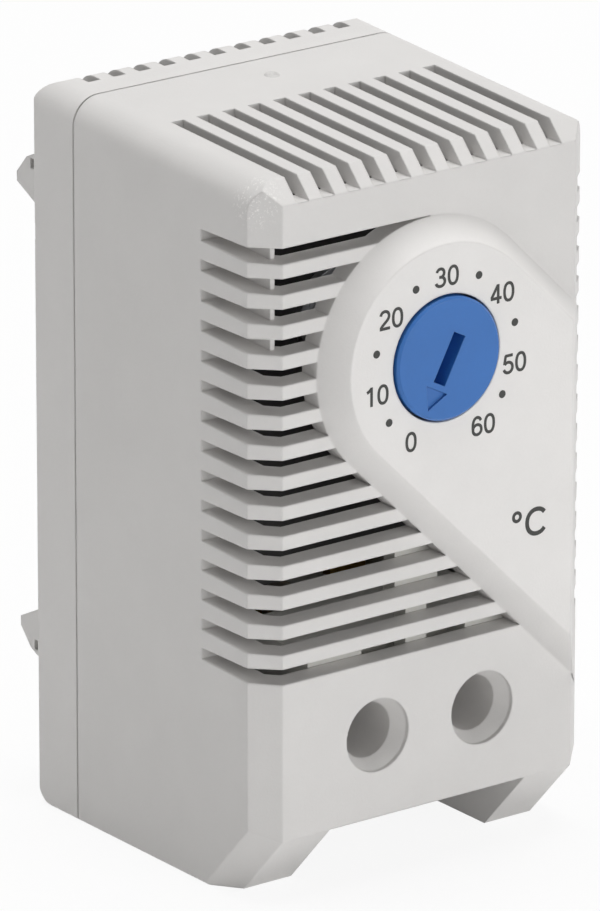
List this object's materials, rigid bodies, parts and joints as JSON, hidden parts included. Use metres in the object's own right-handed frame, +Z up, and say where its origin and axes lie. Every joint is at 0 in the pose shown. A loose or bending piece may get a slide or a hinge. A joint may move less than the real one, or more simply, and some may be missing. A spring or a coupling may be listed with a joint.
{
  "type": "din rail thermostat",
  "caption": "Slim slotted DIN rail thermostat with a blue setting dial, a raised scale panel, screw terminals below and a sprung clip behind.",
  "frame": {"origin": "middle of the rail seat on the rear face, at the rail's centre line", "axes": "+X to the right seen from the front, +Y from the front to the rear face and the rail, +Z up"},
  "size_m": [0.033, 0.041, 0.0617],
  "materials": {
    "grey_plastic": "matte",
    "base_plastic": "matte",
    "blue_plastic": "satin",
    "block_plastic": "matte",
    "black_plastic": "matte",
    "brass": "plain",
    "steel": "zinc plated",
    "bimetal": "rolled",
    "silver": "polished",
    "ferrite": "sintered"
  },
  "bodies": {
    "housing": {"front_cover": "grey_plastic", "rear_base": "base_plastic", "carrier_frame": "black_plastic", "frame_screws": "steel", "terminal_block": "block_plastic", "contact_bar_left": "brass", "contact_bar_right": "brass", "spindle_bush": "steel", "friction_washer": "steel", "bimetal_bracket": "steel", "contact_bracket": "steel", "magnet": "ferrite", "latch_spring_left": "steel", "latch_spring_right": "steel"},
    "dial": {"dial_knob": "blue_plastic", "dial_spindle": "steel", "retaining_ring": "steel"},
    "plunger": {"setting_plunger": "brass"},
    "blade": {"contact_blade": "bimetal", "fixed_contact": "silver"},
    "bimetal": {"bimetal_strip": "bimetal", "moving_contact": "silver", "armature": "steel"},
    "screw_left": {"terminal_screw_left": "steel"},
    "screw_right": {"terminal_screw_right": "steel"},
    "cage_left": {"clamp_cage_left": "brass"},
    "cage_right": {"clamp_cage_right": "brass"},
    "latch": {"rail_latch": "base_plastic"}
  },
  "joints": [
    {"name": "dial_turn", "type": "hinge", "parent": "housing", "child": "dial", "pos_m": [0, -0.032, 0.01195], "axis": [0, 1, 0], "range_deg": [0, 302]},
    {"name": "plunger_travel", "type": "slide", "parent": "housing", "child": "plunger", "axis": [0, 1, 0], "range_m": [0, 0.000671]},
    {"name": "blade_flex", "type": "hinge", "parent": "housing", "child": "blade", "pos_m": [0, -0.0071, -0.003], "axis": [-1, 0, 0], "range_deg": [0, 2.6]},
    {"name": "bimetal_bend", "type": "hinge", "parent": "housing", "child": "bimetal", "pos_m": [0, -0.0041, -0.003], "axis": [1, 0, 0], "range_deg": [0, 0.85], "stiffness_Nm_per_rad": 0.05},
    {"name": "screw_left_turn", "type": "hinge", "parent": "housing", "child": "screw_left", "pos_m": [-0.00505, -0.0212, -0.0194], "axis": [0, 1, 0], "range_deg": [0, 1800]},
    {"name": "screw_right_turn", "type": "hinge", "parent": "housing", "child": "screw_right", "pos_m": [0.00545, -0.0212, -0.0194], "axis": [0, 1, 0], "range_deg": [0, 1800]},
    {"name": "cage_left_travel", "type": "slide", "parent": "housing", "child": "cage_left", "axis": [0, -1, 0], "range_m": [0, 0.0025]},
    {"name": "cage_right_travel", "type": "slide", "parent": "housing", "child": "cage_right", "axis": [0, -1, 0], "range_m": [0, 0.0025]},
    {"name": "latch_slide", "type": "slide", "parent": "housing", "child": "latch", "axis": [0, 0, -1], "range_m": [0, 0.0015], "stiffness_N_per_m": 600, "springref_m": -0.002, "deforming": ["latch_spring_left", "latch_spring_right"]}
  ],
  "couplings": [
    {"joint": "dial_turn", "follows": "plunger_travel", "rad_per_m": 7854},
    {"joint": "blade_flex", "follows": "plunger_travel", "rad_per_m": 67},
    {"joint": "screw_left_turn", "follows": "cage_left_travel", "rad_per_m": 12566},
    {"joint": "screw_right_turn", "follows": "cage_right_travel", "rad_per_m": 12566}
  ]
}
